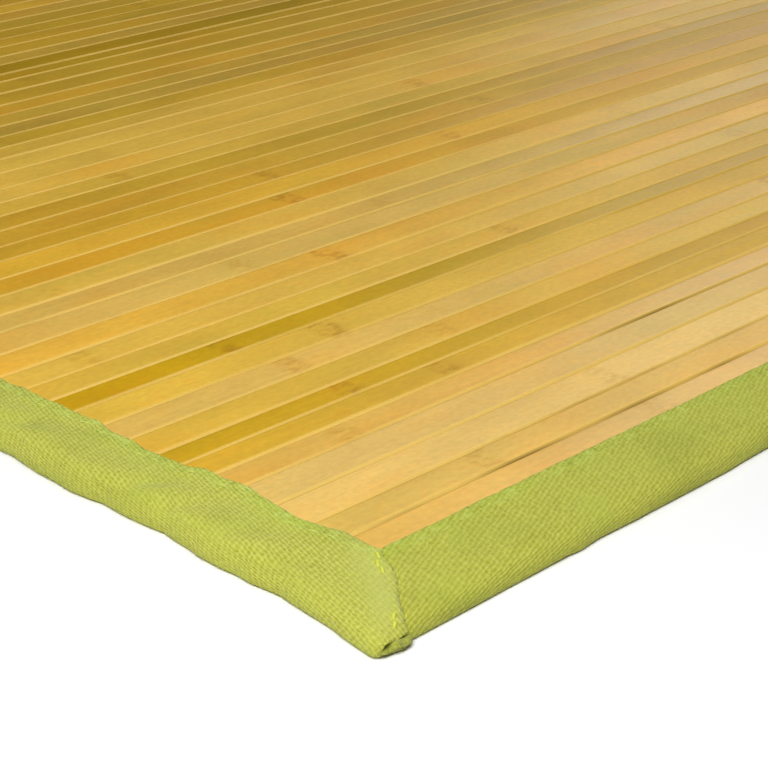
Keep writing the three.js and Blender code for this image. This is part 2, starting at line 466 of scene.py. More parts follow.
# How strong each slat's raw edge and painted highlight are, and how much that changes along the slat
RAW_HIGHLIGHT_RANGE = (0.72, 1.05)
TONE_JITTER = 0.03
RAW_HIGHLIGHT_WAVE = 0.18
# How the painted shade on the joints' sides comes and goes along them
GROOVE_SHADE_WAVE = 0.7
# The width from which a joint looks open, over how much, and the points across a slat that it darkens with
# painted shade
AGAPE_FROM = 0.45
AGAPE_OVER = 0.6
AGAPE_SHADE = ((1, 0.9), (2, 0.5), (8, 0.8))

# Joints that stand open: each one's distance from the near inner edge, from and to along the slats, and width
OPEN_JOINTS = [
    (66.5, 195, 325, 1.05),
    (12, -10, 280, 1.0),
    (29, 10, 320, 0.75),
    (246.5, 25, 62, 0.8),
    (145, 60, 420, 0.5),
]

# Node rings that show by the near corner: place along the slat, place across from the near inner edge, force
RINGS = [
    (80, 20, 0.5),
    (178, 37, 0.4),
    (60, 74, 0.5),
    (135, 90, 0.6),
    (92, 103, 0.8),
    (167, 118, 0.4),
    (93, 135, 0.6),
    (132, 153, 1.0),
    (87, 170, 0.7),
    (287, 187, 0.7),
    (37, 200, 0.4),
    (200, 220, 0.9),
    (77, 272, 0.3),
    (243, 290, 0.9),
    (385, 305, 0.7),
    (262, 326, 0.6),
    (205, 376, 0.6),
]


def slat_joints():
    """The joints of the solid mat: stations along X, and at each the joints' places along Y."""
    points = np.array([v.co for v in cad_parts["slat_field"].data.vertices]) / MM
    low = points[np.abs(points[:, 2] - GROOVE_FLOOR) < 0.01]
    stations = np.unique(low[:, 0].round(1))
    rows = []
    for x in stations:
        ys = np.unique(low[np.abs(low[:, 0] - x) < 0.2][:, 1].round(2))
        rows.append(np.concatenate([[-FIELD_END.y], ys, [FIELD_END.y]]))
    return stations, np.array(rows)


def slow_waves(kind, xs, number):
    apart, size, seed = SLOW[kind]
    return waves(xs[:, None], number * apart, size, seed)


def slat_stations(rebate_x):
    """Places along the slats, closer together towards the end by the camera."""
    end_x = FIELD_END.x - SHORT_X
    inner_x = rebate_x - REBATE_SLOPE
    xs = np.concatenate([np.arange(-end_x, FINE_REACH - end_x, SLAT_STEP),
                         np.arange(FINE_REACH - end_x, end_x, FAR_STEP)])
    return np.unique(np.concatenate([xs, [end_x, -rebate_x, -inner_x, inner_x, rebate_x]]))


def open_widths(xs, joints, number):
    """How wide each joint stands open at each station."""
    found = HAIRLINE * (1 + 0.5 * slow_waves("open", xs, number))
    for y, start, stop, gape in OPEN_JOINTS:
        j = int(np.argmin(np.abs(joints[0] + INNER_Y - y)))
        a, b = start - INNER_X, stop - INNER_X
        middle, half = (a + b) / 2, (b - a) / 2
        swell = np.clip(1 - ((xs - middle) / half) ** 2, 0, 1) ** 0.4 * (0.85 + 0.3 * waves(xs, 0.0, 45.0, j))
        found[:, j] = np.maximum(found[:, j], gape * swell)
    return np.clip(found, NARROWEST, None)


def slat_field(material):
    stations, rows = slat_joints()
    draw = np.random.default_rng(SLAT_SEED)
    slats = rows.shape[1] - 1
    rebate_x = INNER_X - UNDER_PLAY
    rebate_y = INNER_Y - UNDER_PLAY
    inner_y = rebate_y - REBATE_SLOPE
    end_y = FIELD_END.y - SHORT_Y
    xs = slat_stations(rebate_x)
    joints = np.stack([np.interp(xs, stations, rows[:, j]) for j in range(slats + 1)], 1)
    joints[:, 0], joints[:, -1] = -end_y, end_y
    number = np.arange(slats + 1)[None, :]
    joints[:, 1:-1] += JOINT_WANDER * slow_waves("joint", xs, number[:, 1:-1])
    gaps = open_widths(xs, joints, number)

    near = joints[:, :-1] + gaps[:, :-1] / 2
    far = joints[:, 1:] - gaps[:, 1:] / 2
    wide = far - near
    sink = SINK * draw.random(slats)[None, :]
    tilt = TILT * draw.normal(size=slats)[None, :]
    top = SLAT_TOP - SUNK - sink + WARP * slow_waves("warp", xs, number[:, :-1])

    # Across each slat: the place and the height, then how much pale raw edge and painted highlight, and how
    # much painted shade of the groove, the slat has there
    bed = np.full_like(top, GROOVE_FLOOR)
    across = [
        (near, bed, 0.6, 1.0),
        (near, top - LIT_DROP, 1.0, 0.35),
        (near + 0.5 * LIT_EDGE, top - 0.42 * LIT_DROP - tilt, 1.0, 0.0),
        (near + LIT_EDGE, top - tilt, 0.8, 0.0),
        (near + LIT_EDGE + SHOULDER, top - 0.8 * tilt + 0.3 * CROWN, 0.0, 0.0),
        (near + 0.5 * wide, top + CROWN, 0.0, 0.0),
        (far - BACK_EDGE - SHOULDER, top + 0.8 * tilt + 0.3 * CROWN, 0.0, 0.0),
        (far - BACK_EDGE, top + tilt, 0.0, 0.0),
        (far, top - BACK_DROP + tilt, 0.1, 0.75),
        (far, bed, 0.0, 1.0),
    ]
    count = len(xs)
    y, z = (np.stack([row[k] for row in across], -1).reshape(count, -1) for k in (0, 1))
    raw_highlight, dark = (np.array([row[k] for row in across]) for k in (2, 3))

    # The underside, with a rebate all round for the cloth's under flaps
    rim = np.full(count, CLOTH + GAP)
    foot = np.where(np.abs(xs) < rebate_x - REBATE_SLOPE / 2, 0.0, rim)
    under_y = np.array([end_y, rebate_y, inner_y, -inner_y, -rebate_y, -end_y])
    under_z = np.stack([rim, rim, foot, foot, rim, rim], 1)
    ring_y = np.concatenate([y, np.broadcast_to(under_y, under_z.shape)], 1)
    ring_z = np.concatenate([z, under_z], 1)
    ring_x = np.broadcast_to(xs[:, None], ring_y.shape)
    points = np.stack([ring_x, ring_y, ring_z], -1).reshape(-1, 3)
    faces = [face[::-1] for face in tube_faces(*ring_y.shape)]
    piece = mesh_object("slats", points, faces, material)
    store_slat_looks(piece, draw, ring_x, ring_y, joints, gaps, raw_highlight, dark)
    piece.data.set_sharp_from_angle(angle=SHARP_ANGLE)
    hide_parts("slat_field")
    return piece


def store_slat_looks(piece, draw, ring_x, ring_y, joints, gaps, raw_highlight, dark):
    """What the material reads: tone, place on the slat, rings, sheen, the raw lit edge with its painted
    highlight, and painted shade in the groove.
    """
    count, size = ring_x.shape
    slats = joints.shape[1] - 1
    per = len(raw_highlight)
    unders = size - slats * per
    xs = ring_x[:, 0]
    number = np.arange(slats)[None, :]

    def spread(per_slat, under_value):
        """One value for each slat, laid out over the points of a ring and then over all rings."""
        row = np.repeat(per_slat, per, axis=0)
        row = np.concatenate([row, np.repeat(np.atleast_2d(under_value), unders, axis=0)])
        return np.tile(row, (count, 1))

    def store_tops(name, values):
        """One value for each point across each slat, and none underneath."""
        store(piece, name, "FLOAT", np.concatenate([values.reshape(count, -1), np.zeros((count, unders))], 1))

    tone = slat_tones(slats)
    tone[:, :3] *= 1 + TONE_JITTER * draw.normal(size=(slats, 1))
    store(piece, "slat_tone", "FLOAT_COLOR", spread(tone, linear(*TONES["tan"])))

    seed = draw.uniform(0, 500, slats)
    place = spread(seed[:, None], (1.0,)).reshape(count, size)
    store(piece, "slat_place", "FLOAT_VECTOR", np.stack([ring_x * MM, ring_y * MM, place], -1))

    pitch = draw.uniform(*RING_PITCH, slats)
    at = draw.uniform(*RING_AT, slats)
    force = draw.uniform(*RING_FORCE, slats)
    middle = (joints[0, :-1] + joints[0, 1:]) / 2 + INNER_Y
    for x, y, strength in RINGS:
        i = int(np.argmin(np.abs(middle - y)))
        at[i] = (x - INNER_X) * MM
        force[i] = strength
    store(piece, "slat_rings", "FLOAT_VECTOR", spread(np.stack([at, pitch, force], 1), (0.0, 1.0, 0.0)))

    store(piece, "slat_matt", "FLOAT", spread(draw.uniform(*MATT, (slats, 1)), (0.45,)))
    # The near edge's raw colour and painted highlight, stronger on some slats and in slow waves along them
    share = draw.uniform(*RAW_HIGHLIGHT_RANGE, slats)[None, :] + RAW_HIGHLIGHT_WAVE * slow_waves("raw_highlight", xs, number)
    store_tops("slat_raw_highlight", raw_highlight * np.clip(share, 0.1, 1)[:, :, None])

    # Painted shade: the joints' sides are darkened in patches, and all darkened where a joint stands open
    seen = np.clip(GROOVE_SHADE_WAVE + GROOVE_SHADE_WAVE * slow_waves("dark", xs, number), 0.1, 1)
    deep = np.where(dark < 1, dark * seen[:, :, None], 1.0)
    agape = np.clip((gaps - AGAPE_FROM) / AGAPE_OVER, 0, 1)
    for k, share in AGAPE_SHADE:
        side = agape[:, :-1] if k < per / 2 else agape[:, 1:]
        deep[:, :, k] = np.maximum(deep[:, :, k], share * side)
    store_tops("slat_groove_shade", deep)


# Binding
UNDERSIDE = SLAT_TOP + GAP
MODEL_TIP = SIDE_FLAP + FLARE["near_left"]  # the corner that the others are scaled from
HEM = 9.0
HEM_RISE = 0.35
HEM_SOFT = 0.7
EDGE_BACK = 3.4
CALM = 30.0  # how far from a corner the waves start
STRIP_STEP = 3.0
TOP_STEPS = 25
UNDER_STEPS = 7
UNDER_START = 2.2
CREASE_REACH = 0.7
EDGE_DOWN = 0.7
WORN_AT = 6.0
LAP = {"long": (0.32, 0.0, 5.5), "short": (0.15, 4.0, 1.6)}  # height, place and reach of the ridge by a seam

# Waves of a strip: height, size of the hills, and what is added to the strip's seed
STRIP_WAVES = {
    "short_width": (0.4, 80.0, 6),
    "long_width": (1.1, 75.0, 6),
    "outer": (0.35, 40.0, 5),
    "inner": (1.0, 34.0, 0),
    "fray": (0.3, 10.0, 8),
    "ripple": (0.16, 22.0, 1),
    "fine_ripple": (0.07, 9.0, 2),
    "dash": (1.3, 6.0, 7),
    "drape": (0.3, 26.0, 3),
    "sewing": (0.9, 35.0, 4),
}

# Mitres: where the sections start to fan out, the seam's end and bow, and the long strip's rounded tip
FAN = 14.0
SEAM_OUT = 34.3
SEAM_BOW = 2.6
BOW_AT = 19.0
BOW_REACH = 9.0
MITRE_LAP = 1.3
TIP_OVER = 2.0
FOOT = END_FLAP + TIP_OVER
TIP_ROUND = 3.0
SHORT_TURNS = 20
LONG_TURNS = 36
SIDE_POINTS = 24
ROUND_POINTS = 9

# The left strip's wavy edges by the near corner: places along it, and how far the inner edge stands out
# from its line there and the outer edge beyond its own
INNER_LINE = [
    (0, 3.0), (8, 2.2), (15, 1.8), (22, 4.4), (33, 6.0), (45, 4.0), (53, 3.0), (61, 1.0), (67, 0.2),
    (73, 2.4), (80, 1.6), (86, 2.0), (92, 5.0), (101, 5.9), (115, 6.3), (123, 4.2), (133, 5.3),
    (141, 3.0), (147, 1.7), (153, 3.2), (161, 3.1), (169, 2.3), (176, 3.4), (184, 2.9), (191, 2.2),
    (198, 3.8), (206, 2.9),
]
OUTER_LINE = [
    (-42, 1.4), (-35, 2.0), (-28, 2.2), (-21, 1.6), (-10, 1.9), (0, 1.8), (6, 1.2), (13, 2.4), (20, 3.6),
    (28, 3.2), (34, 4.1), (46, 4.1), (53, 2.5), (60, 1.9), (68, 0.9), (76, 2.1), (86, 2.5), (94, 2.1),
    (101, 1.7), (107, 2.9), (117, 3.7), (127, 2.5), (138, 2.5), (146, 1.5), (157, -0.2), (175, 0.6),
]
# The same for the near strip's outer edge, from that corner
NEAR_LINE = [(-25, 1.1), (0, 1.0), (30, 0.7), (50, 0.5), (57, 1.4), (68, 0.1), (85, 0.5), (120, 0.7),
             (150, 0.5), (170, -0.8)]
# Troughs across the left strip by that corner: place along it, width and depth
PUCKERS = [(4, 6.0, 0.9), (34, 9.0, 0.35), (64, 7.0, 0.8), (87, 5.0, 0.75), (124, 8.0, 0.4), (162, 9.0, 0.8)]
PUCKERS_END = 170.0
PUCKER_PIVOT = 20.0
RUN_OVER = 40.0  # over how long the lines by that corner give way to waves


def by_corner(distance, line, elsewhere):
    """A line's height by the near left corner, running over into another further off."""
    at, rise = np.array(line, float).T
    share = np.clip((distance - at[-1] + RUN_OVER / 2) / RUN_OVER, 0, 1)
    return (1 - share) * np.interp(distance, at, rise) + share * elsewhere


# Each strip: its turn in the rug, middle and half length, flap, corners at its start and end, and whether it
# laps over the next. Its puckers have a height, pitch, first trough and slant. Its inner edge sways, and its
# outer side droops over a reach.
STRIPS = {
    "binding_left": {
        "turn": 90, "at": (-INNER_X, 0), "half": INNER_Y, "flap": SIDE_FLAP,
        "tips": ("near_left", "far_left"), "over": True, "seed": 21,
        "height": 1.9, "pitch": 67, "trough": 19, "slant": 0.5, "sway": 1.4, "droop": 2.3, "reach": 8.0,
    },
    "binding_right": {
        "turn": -90, "at": (INNER_X, 0), "half": INNER_Y, "flap": SIDE_FLAP,
        "tips": ("far_right", "near_right"), "over": True, "seed": 22,
        "height": 1.0, "pitch": 78, "trough": 30, "slant": -0.7, "sway": 1.4, "droop": 2.3, "reach": 8.0,
    },
    "binding_near": {
        "turn": 180, "at": (0, -INNER_Y), "half": INNER_X, "flap": END_FLAP,
        "tips": ("near_right", "near_left"), "over": False, "seed": 23,
        "height": 0.3, "pitch": 156, "trough": 40, "slant": 0.3, "sway": 0.3, "droop": 3.0, "reach": 11.0,
    },
    "binding_far": {
        "turn": 0, "at": (0, INNER_Y), "half": INNER_X, "flap": END_FLAP,
        "tips": ("far_left", "far_right"), "over": False, "seed": 24,
        "height": 0.4, "pitch": 156, "trough": 70, "slant": 0.4, "sway": 0.4, "droop": 3.0, "reach": 11.0,
    },
}

# The fold round the slats' ends, from the top down: how far in from the strip's outer edge the outer skin
# is and its height, then the same for the inner skin
FOLD_PATH = np.array([
    (2.4, 5.35, 3.0, 4.25),
    (1.6, 4.85, 2.45, 3.85),
    (1.0, 4.3, 2.0, 3.4),
    (0.55, 3.65, 1.7, 3.0),
    (0.25, 3.0, 1.45, 2.6),
    (0.08, 2.3, 1.3, 2.2),
    (0.0, 1.6, 1.25, 1.85),
    (0.0, 1.0, 1.25, 1.55),
    (0.35, 0.35, 1.5, 1.3),
    (1.1, 0.03, 2.1, 1.2),
])
# The same over a corner's end, where the cloth is doubled under itself and the tuck lies beneath. That is so
# round the slits, given by their middle and half width, out from the inner corner.
END_PATH = np.array([
    (2.4, 5.35, 3.0, 4.4),
    (1.5, 5.15, 2.4, 4.35),
    (0.7, 4.8, 1.9, 4.3),
    (0.2, 4.35, 1.6, 4.25),
    (0.0, 3.9, 1.5, 4.2),
    (0.3, 3.5, 1.6, 4.15),
    (0.9, 3.25, 2.0, 4.1),
    (1.6, 3.0, 2.8, 3.9),
    (2.0, 1.6, 3.2, 2.5),
    (2.4, 0.05, 3.6, 1.22),
])
SLITS = [(43.8, 2.5), (36.2, 3.0)]
SLIT_FORCE = 1.25
FOLD_START = 3.3  # how far in from the outer edge the fold begins
FOLD_WEAVE = 1.9  # how much more cloth runs round the fold than its path is long


class Strip:
    """One strip of binding in its own frame: s along it, u out from its inner edge, z up."""

    def __init__(self, name):
        self.name = name
        for key, value in STRIPS[name].items():
            setattr(self, key, value)
        self.length = 2 * self.half
        self.tip = [SIDE_FLAP + FLARE[tip] for tip in self.tips]
        self.seam = [SEAM_OUT * tip / MODEL_TIP for tip in self.tip]

    def kind(self):
        return "long" if self.over else "short"

    def wave(self, name, a, b=0.0):
        height, size, seed = STRIP_WAVES[name]
        return height * waves(a, b, size, self.seed + seed)

    def width(self, s):
        """The flap's width, with the flare of a long strip's corners."""
        s = np.asarray(s, float)
        if not self.over:
            extra = self.wave("short_width", s)
            if self.name == "binding_near":
                extra = by_corner(self.length - s, NEAR_LINE, extra - 0.5)
            return END_FLAP + extra
        spread = [FLARE[self.tips[0]] * np.exp(-(s + END_FLAP) / FLARE_REACH),
                  FLARE[self.tips[1]] * np.exp(-(self.length - s + END_FLAP) / FLARE_REACH)]
        extra = 1.0 + self.wave("long_width", s)
        if self.name == "binding_left":
            extra = by_corner(s, OUTER_LINE, extra)
        return SIDE_FLAP + np.maximum(*spread) + extra + self.wave("outer", s) * self.calm(s)

    def calm(self, s):
        return np.clip(np.minimum(s, self.length - s) / CALM, 0, 1)

    def corner(self, end):
        """Sections from the straight part of the strip round to its seam at one corner.

        Gives the share of the turn, the inner end's s, and the outer end's s and u, all from that corner."""
        seam = self.seam[end]
        if not self.over:
            turn = np.linspace(0, 1, SHORT_TURNS)
            start = FAN * (1 - turn)
            s = start - (seam * END_FLAP / FOOT + MITRE_LAP) * turn
            return turn, start, s, self.width(s if end == 0 else self.length - s)
        side = np.linspace(FAN, TIP_ROUND - FOOT, SIDE_POINTS)
        at = side if end == 0 else self.length - side
        wide = self.width(at)
        bend = np.linspace(0, np.pi / 2, ROUND_POINTS)[1:]
        s = np.concatenate([side, TIP_ROUND * (1 - np.sin(bend)) - FOOT, [-FOOT]])
        u = np.concatenate([wide, wide[-1] - TIP_ROUND * (1 - np.cos(bend)), [seam]])
        run = np.concatenate([[0], np.cumsum(np.hypot(np.diff(s), np.diff(u)))])
        turn = np.linspace(0, 1, LONG_TURNS)
        s = np.interp(turn * run[-1], run, s)
        u = np.interp(turn * run[-1], run, u)
        return turn, FAN * (1 - turn), s, u

    def sections(self):
        """All sections in order: turn towards a seam, its end, inner s, outer s and u."""
        turn, inner, s, u = self.corner(0)
        zero = np.zeros(len(turn))
        rows = [np.stack([turn, zero, inner, s, u])[:, ::-1]]
        middle = np.linspace(FAN, self.length - FAN, int((self.length - 2 * FAN) / STRIP_STEP))[1:-1]
        straight = np.zeros_like(middle)
        rows.append(np.stack([straight, straight, middle, middle, self.width(middle)]))
        turn, inner, s, u = self.corner(1)
        rows.append(np.stack([turn, zero + 1, self.length - inner, self.length - s, u]))
        return np.concatenate(rows, 1)

    def edge(self, s):
        """How far the inner edge stands out from its line."""
        s = np.asarray(s, float)
        far = EDGE_BACK + self.calm(s) * self.sway * self.wave("inner", s)
        if self.name == "binding_left":
            far = by_corner(s, INNER_LINE, far)
        return far + self.calm(s) * self.wave("fray", s)

    def fall(self, share):
        """How far the cloth has sunk towards its outer fold, where no slat holds it up."""
        past = np.clip(1 - (1 - share) * self.flap / self.reach, 0, None)
        return self.droop * past ** 2

    def relief(self, s, u, share):
        """Height of the cloth's underside over the slats: puckers and small ripples."""
        share = np.clip(share, 0, 1)
        dome = np.sin(np.pi * share ** 2.2) if self.over else np.sin(np.pi * share ** 0.8) ** 0.8
        across = s - self.slant * (u - PUCKER_PIVOT)
        pucker = (0.5 - 0.5 * np.cos(2 * np.pi * (across - self.trough) / self.pitch)) ** 1.3
        if self.name == "binding_left":
            near = np.ones(np.broadcast(s, u).shape)
            for at, size, deep in PUCKERS:
                near = near * (1 - deep * hump(across - at, size))
            share_far = np.clip((s - PUCKERS_END) / RUN_OVER, 0, 1)
            pucker = (1 - share_far) * near + share_far * pucker
        pucker = self.height * pucker
        ripple = self.wave("ripple", s, u) + self.wave("fine_ripple", s, u)
        if not self.over:
            ripple = ripple * 0.5
        return dome * (self.calm(s) * pucker + np.maximum(ripple + 0.2, 0))

    def from_seam(self, s, u):
        """Distance from the nearer seam, on this strip's side of it."""
        found = np.full(np.shape(s), 1e3)
        for end in (0, 1):
            past = -s if end == 0 else s - self.length
            p, q = (u, past) if self.over else (past, u)
            line = q * self.seam[end] / FOOT - SEAM_BOW * hump(q - BOW_AT, BOW_REACH)
            d = (p - line) * FOOT / math.hypot(FOOT, self.seam[end])
            found = np.minimum(found, d if self.over else -d)
        return np.maximum(found, 0)

    def top(self, s, u, share, edge):
        """Height of the cloth's upper face: over its underside a hem, and a lap and crease at the seams."""
        hem = step_down(u - edge - HEM, HEM_SOFT)
        off = self.from_seam(s, u)
        dash = np.clip(0.5 + self.wave("dash", u), 0, 1)
        high, place, reach = LAP[self.kind()]
        lap = high * hump(off - place, reach)
        crease = (0.2 + 0.7 * dash) * np.exp(-off / CREASE_REACH)
        fade = np.clip((1 - share) * 8, 0, 1)
        flat = UNDERSIDE + CLOTH + self.relief(s, u, share) - self.fall(share)
        return flat + HEM_RISE * hem + (lap - crease) * fade

    def beyond(self, past, end):
        """The place along the strip that lies so far beyond its inner corner at one end."""
        return -past if end == 0 else self.length + past

    def to_rug(self, s, u, z):
        """Points of the strip's frame in the rug's."""
        turn = math.radians(self.turn)
        along = s - self.half
        x = self.at[0] + along * math.cos(turn) - u * math.sin(turn)
        y = self.at[1] + along * math.sin(turn) + u * math.cos(turn)
        return np.stack([x, y, z], -1)


def strip_path(wide, edge):
    """Across a strip: how far out the upper flap's points are, then those of the lower flap."""
    flat = wide - FOLD_START
    share = np.concatenate([[0.0, 0.012], np.linspace(0.04, 1, TOP_STEPS)])
    top_u = edge[:, None] + (flat - edge)[:, None] * share
    under_share = np.linspace(0, 1, UNDER_STEPS)[1:]
    under_u = (wide - UNDER_START)[:, None] + (UNDER_START - UNDER_FLAP) * under_share
    return top_u, under_u


def binding_strip(name, material):
    """The cloth of a strip, as a closed sheet folded round the slats' edge, and the strip itself."""
    strip = Strip(name)
    turn, end, inner_s, outer_s, outer_u = strip.sections()
    wide = np.where(turn > 0, strip.width(np.clip(inner_s, FAN, strip.length - FAN)), outer_u)
    edge = strip.edge(inner_s)
    top_u, under_u = strip_path(wide, edge)
    k_top = top_u.shape[1]
    side = np.where(end == 0, 1.0, -1.0)[:, None]
    bow = SEAM_BOW * (turn[:, None] ** 3)

    def place(u):
        """Points of a section, given as if it ran straight out, on its real line."""
        share = u / wide[:, None]
        s = inner_s[:, None] + share * (outer_s - inner_s)[:, None]
        out = u * (outer_u / wide)[:, None]
        swell = bow * hump(share * END_FLAP - BOW_AT, BOW_REACH)
        return (s, out - swell) if strip.over else (s + side * swell, out)

    # The upper flap, then the two skins of the fold and of the flap under the slats
    s, u = place(top_u)
    share = top_u / wide[:, None]
    upper = strip.top(s, u, share, edge[:, None])
    lower = UNDERSIDE + strip.relief(s, u, share) - strip.fall(share)
    upper[:, 0] -= EDGE_DOWN
    past = np.where(end == 0, -outer_s, outer_s - strip.length)
    like = outer_u * MODEL_TIP / np.where(end == 0, *strip.tip)
    slits = sum(np.clip(SLIT_FORCE - ((like - at) / half) ** 2, 0, 1) for at, half in SLITS)
    ended = np.where((past > FOOT - 1) & strip.over, slits, 0.0)[:, None, None]
    path = FOLD_PATH[None] + ended * (END_PATH - FOLD_PATH)[None]
    path = np.broadcast_to(path, (len(wide), *FOLD_PATH.shape))
    rim = (UNDERSIDE + CLOTH - strip.fall(1 - FOLD_PATH[0, 0] / strip.flap)) / FOLD_PATH[0, 1]
    level = path[:, :, 1] / FOLD_PATH[0, 1]
    drape = strip.wave("drape", inner_s[:, None], level * 12) * np.sin(np.pi * level)
    drape = drape * strip.calm(inner_s)[:, None]
    out_u = wide[:, None] - path[:, :, 0] + drape
    in_u = wide[:, None] - path[:, :, 2] + drape
    out_z = path[:, :, 1] * rim
    in_z = CLOTH + (path[:, :, 3] - CLOTH) * rim
    low_z = np.zeros_like(under_u)
    ring_u = np.concatenate([top_u, out_u, under_u, under_u[:, ::-1], in_u[:, ::-1], top_u[:, ::-1]], 1)
    ring_z = np.concatenate([upper, out_z, low_z, low_z + CLOTH, in_z[:, ::-1], lower[:, ::-1]], 1)
    ring_s, ring_out = place(ring_u)
    count, size = ring_u.shape
    points = strip.to_rug(ring_s, ring_out, ring_z).reshape(-1, 3)
    half = size // 2
    faces = ring_quads(count, size).tolist()
    last = (count - 1) * size
    for k in range(half - 1):
        a, b, c, d = k, k + 1, size - 2 - k, size - 1 - k
        faces.append([d, c, b, a])
        faces.append([last + a, last + b, last + c, last + d])
    piece = mesh_object(name + "_cloth", points, faces, material)

    # Where each point lies on the flat cloth, for the weave
    step = np.hypot(np.diff(ring_u[:, :half], axis=1), np.diff(ring_z[:, :half], axis=1))
    run = np.concatenate([np.zeros((count, k_top)), np.cumsum(step[:, k_top - 1:], 1) * FOLD_WEAVE], 1)
    way_s, way_u = outer_s - inner_s, outer_u
    way = np.hypot(way_s, way_u)
    flat_s, flat_u = ring_s[:, :half].copy(), ring_out[:, :half].copy()
    flat_u[:, :k_top] += 0.8 * strip.fall(share)
    flat_s[:, k_top:] = s[:, -1:] + run[:, k_top:] * (way_s / way)[:, None]
    flat_u[:, k_top:] = flat_u[:, k_top - 1:k_top] + run[:, k_top:] * (way_u / way)[:, None]
    flat_s = np.concatenate([flat_s, flat_s[:, ::-1]], 1)
    flat_u = np.concatenate([flat_u, flat_u[:, ::-1]], 1)
    mirror, shrink = (-1, SIDE_SHRINK) if strip.over else (1, 1)
    hem = step_down(ring_out - edge[:, None] - 0.7 * HEM, 1.2)
    flat = np.stack([mirror * flat_s * MM, flat_u * shrink * MM, hem], -1)
    store(piece, "cloth_place", "FLOAT_VECTOR", flat)
    worn = np.zeros_like(ring_u)
    if strip.over:
        middle = np.sin(np.pi * np.clip(ring_u / wide[:, None], 0, 1)) ** 0.5
        worn = hump(strip.from_seam(ring_s, ring_out) - WORN_AT, WORN_AT) * middle
    store(piece, "cloth_worn", "FLOAT", worn)
    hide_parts(name)
    return piece, strip


# Sewing
THREAD_SIDES = 6
THREAD_RINGS = 5
STITCH_DEPTH = 0.12
HEM_LINE = 5.6
HEM_START = 3.0
HEM_SEWING = {
    "long": {"pitch": 8.5, "stitch": 4.6, "radius": 0.42, "rise": 0.34},
    "short": {"pitch": 5.0, "stitch": 3.0, "radius": 0.24, "rise": 0.16},
}
# The hand sewing of a mitre: how far over the long strip's end and along it, from the inner corner. From one
# share of its way to another it is buried in the cloth.
SEAM_SEWING = np.array([(5.4, 4.6), (12.2, 12.4), (15.0, 17.3), (20.7, 24.4), (30.8, 35.6), (37.6, 42.6)])
SEAM_BURIED = (0.26, 0.8)
SEAM_RADIUS = 0.78
SEAM_RISE = 0.4
SEAM_STITCH = (3.6, 5.2)
HEM_SEED, SEAM_SEED, TUCK_SEED = 9, 40, 60  # after the strip's own


def stitch_mesh(runs, radius):
    """Short threads as one mesh. Each run is a start, an end and the way up, in millimetres."""
    points, faces = [], []
    thread = tube_faces(THREAD_RINGS, THREAD_SIDES)
    for start, end, rise in runs:
        run = (end - start) / max(np.linalg.norm(end - start), 1e-6)
        side = np.cross(run, (0, 0, 1))
        side /= max(np.linalg.norm(side), 1e-6)
        up = np.cross(side, run)
        base = len(points)
        for k in range(THREAD_RINGS):
            t = k / (THREAD_RINGS - 1)
            swell = math.sin(math.pi * t)
            fat = radius * (0.55 + 0.45 * swell)
            centre = start + (end - start) * t + np.array([0, 0, rise * swell - STITCH_DEPTH])
            for i in range(THREAD_SIDES):
                a = 2 * math.pi * i / THREAD_SIDES
                points.append(centre + fat * (math.cos(a) * side + math.sin(a) * up))
        faces += [[base + k for k in face] for face in thread]
    return np.array(points), faces


def stitches(name, runs, radius, material):
    piece = mesh_object(name, *stitch_mesh(runs, radius), material)
    return piece


def hem_stitches(strip, material):
    """The line of sewing along a strip's hem."""
    draw = np.random.default_rng(strip.seed + HEM_SEED)
    sewing = HEM_SEWING[strip.kind()]
    runs = []
    s = HEM_START
    while s < strip.length - HEM_START:
        place = np.array([s, s + sewing["stitch"] * draw.uniform(0.8, 1.15)])
        edge = strip.edge(place)
        wander = strip.wave("sewing", place) + draw.normal(size=2) * 0.25
        u = edge + HEM_LINE + wander
        z = strip.top(place, u, u / strip.width(place), edge)
        runs.append((*strip.to_rug(place, u, z), sewing["rise"]))
        s += sewing["pitch"] * draw.uniform(0.85, 1.2)
    return stitches(strip.name + "_stitches", runs, sewing["radius"], material)


def seam_stitches(strip, end, material):
    """The hand sewing that closes a mitre, on the strip that laps over."""
    draw = np.random.default_rng(strip.seed + SEAM_SEED + end)
    run = np.concatenate([[0], np.cumsum(np.hypot(*np.diff(SEAM_SEWING, axis=0).T))])
    scale = strip.tip[end] / MODEL_TIP
    runs = []
    at = 0.5
    while at < run[-1] - 2:
        length = draw.uniform(*SEAM_STITCH)
        ends = np.array([at, min(at + length, run[-1])])
        out = np.interp(ends, run, SEAM_SEWING[:, 0]) * scale + draw.normal(size=2) * 0.5
        past = np.interp(ends, run, SEAM_SEWING[:, 1]) + draw.normal(size=2) * 0.4
        s = strip.beyond(past, end)
        if not SEAM_BURIED[0] < at / run[-1] < SEAM_BURIED[1]:
            z = strip.top(s, out, past / FOOT, 0.0) - 0.1
            runs.append((*strip.to_rug(s, out, z), SEAM_RISE))
        at += length * draw.uniform(0.75, 1.05)
    return stitches(f"seam_{strip.tips[end]}_stitches", runs, SEAM_RADIUS, material)


# The tuck at the foot of a corner: how far over the long strip's end and along it, and its height
TUCK_LINE = [
    (31.5, 42.0, 2.6),
    (33.0, 44.8, 3.4),
    (34.8, 45.9, 3.35),
    (37.5, 46.2, 3.35),
    (40.4, 45.8, 4.2),
    (43.4, 45.0, 2.5),
    (46.0, 43.9, 2.2),
    (47.2, 41.8, 1.6),
]
TUCK_STEPS = 34
TUCK_SIDES = 16
TUCK_LONG = 40.0  # length and girth of its cloth, for the weave
TUCK_ROUND = 16.0
TUCK_WORN = 0.6
TUCK_FAT = 2.0
TUCK_IN = 0.6


